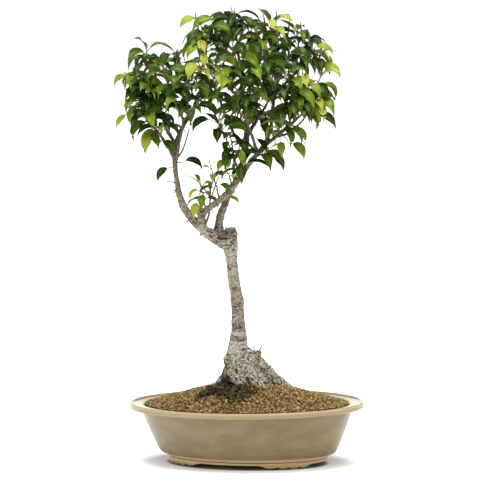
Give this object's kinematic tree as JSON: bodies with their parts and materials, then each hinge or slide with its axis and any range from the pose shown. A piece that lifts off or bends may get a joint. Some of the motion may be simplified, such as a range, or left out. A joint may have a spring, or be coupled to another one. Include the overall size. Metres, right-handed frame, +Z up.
{
  "type": "bonsai tree in a pot",
  "caption": "Small-leaved fig bonsai with a flared root base, a slim bare trunk and a rounded crown, planted in granular soil in a shallow oval footed pot.",
  "frame": {"origin": "centre of the footprint of the whole object, on the surface the pot's feet stand on", "axes": "+Z up along the trunk, +X to the viewer's right, -Y towards the viewer"},
  "size_m": [0.2966, 0.2286, 0.567],
  "materials": {
    "stoneware": "satin",
    "bark": "matte",
    "leaf": "satin",
    "soil_grain": "matte",
    "pumice": "matte",
    "screen_plastic": "matte",
    "wire": "satin"
  },
  "bodies": {
    "root": {"anchor_wire": "wire", "drain_screen_left": "screen_plastic", "drain_screen_right": "screen_plastic", "gravel_layer": "pumice", "pot": "stoneware", "screen_clip_left": "wire", "screen_clip_right": "wire", "shoot_fork_1": "leaf", "shoot_fork_2": "leaf", "shoot_fork_3": "leaf", "shoot_front_1": "leaf", "shoot_front_10": "leaf", "shoot_front_11": "leaf", "shoot_front_12": "leaf", "shoot_front_13": "leaf", "shoot_front_2": "leaf", "shoot_front_3": "leaf", "shoot_front_4": "leaf", "shoot_front_5": "leaf", "shoot_front_6": "leaf", "shoot_front_7": "leaf", "shoot_front_8": "leaf", "shoot_front_9": "leaf", "shoot_left_1": "leaf", "shoot_left_2": "leaf", "shoot_left_3": "leaf", "shoot_left_4": "leaf", "shoot_left_5": "leaf", "shoot_left_6": "leaf", "shoot_left_7": "leaf", "shoot_left_8": "leaf", "shoot_left_9": "leaf", "shoot_rear_1": "leaf", "shoot_rear_2": "leaf", "shoot_rear_3": "leaf", "shoot_rear_4": "leaf", "shoot_rear_5": "leaf", "shoot_rear_6": "leaf", "shoot_rear_7": "leaf", "shoot_rear_8": "leaf", "shoot_rear_9": "leaf", "shoot_right_1": "leaf", "shoot_right_2": "leaf", "shoot_right_3": "leaf", "shoot_right_4": "leaf", "shoot_right_5": "leaf", "shoot_right_6": "leaf", "shoot_right_7": "leaf", "shoot_right_8": "leaf", "shoot_top_1": "leaf", "shoot_top_2": "leaf", "shoot_top_3": "leaf", "shoot_top_4": "leaf", "shoot_top_5": "leaf", "shoot_top_6": "leaf", "shoot_top_7": "leaf", "soil": "soil_grain", "trunk_and_limbs": "bark"}
  },
  "joints": []
}
